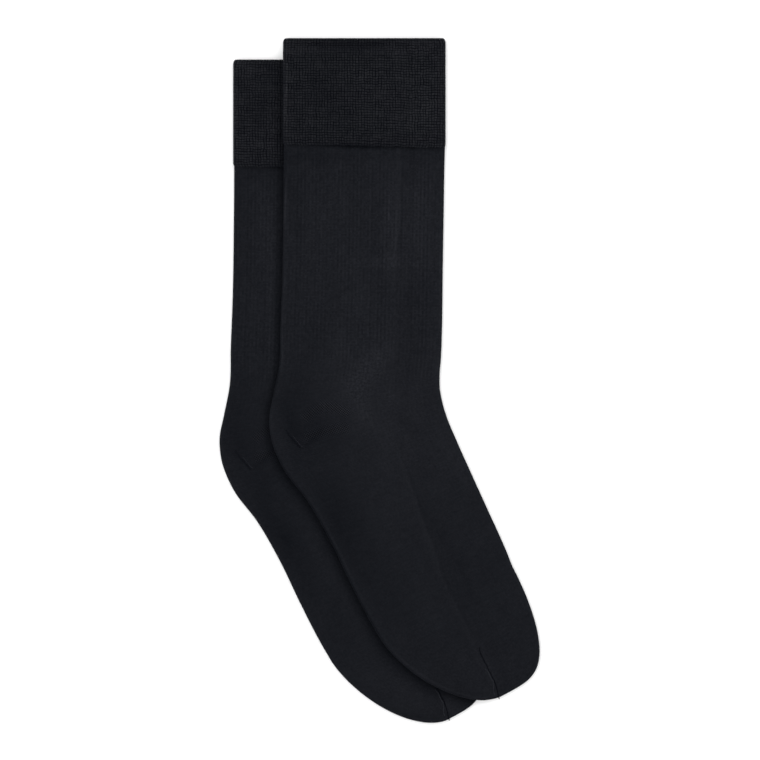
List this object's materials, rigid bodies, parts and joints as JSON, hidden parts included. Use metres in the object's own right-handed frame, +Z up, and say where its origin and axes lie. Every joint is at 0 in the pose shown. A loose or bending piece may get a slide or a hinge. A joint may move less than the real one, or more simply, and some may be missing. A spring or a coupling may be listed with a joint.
{
  "type": "pair of socks",
  "caption": "Plain dark fine-knit mid-calf socks with turned double cuffs, laid flat with one sock shifted across the other.",
  "frame": {"origin": "middle of the pair's box, on the floor that it lies on", "axes": "+Y up the legs towards the cuffs, +X towards the insteps, +Z up from the floor"},
  "size_m": [0.1822, 0.3902, 0.0084],
  "materials": {
    "cuff_knit": "dull fine mock-rib knit, double layer",
    "body_knit": "soft fine plain knit with a faint sheen"
  },
  "bodies": {
    "root": {"under_sock_cuff": "cuff_knit", "under_sock_body": "body_knit", "upper_sock_cuff": "cuff_knit", "upper_sock_body": "body_knit"}
  },
  "joints": []
}
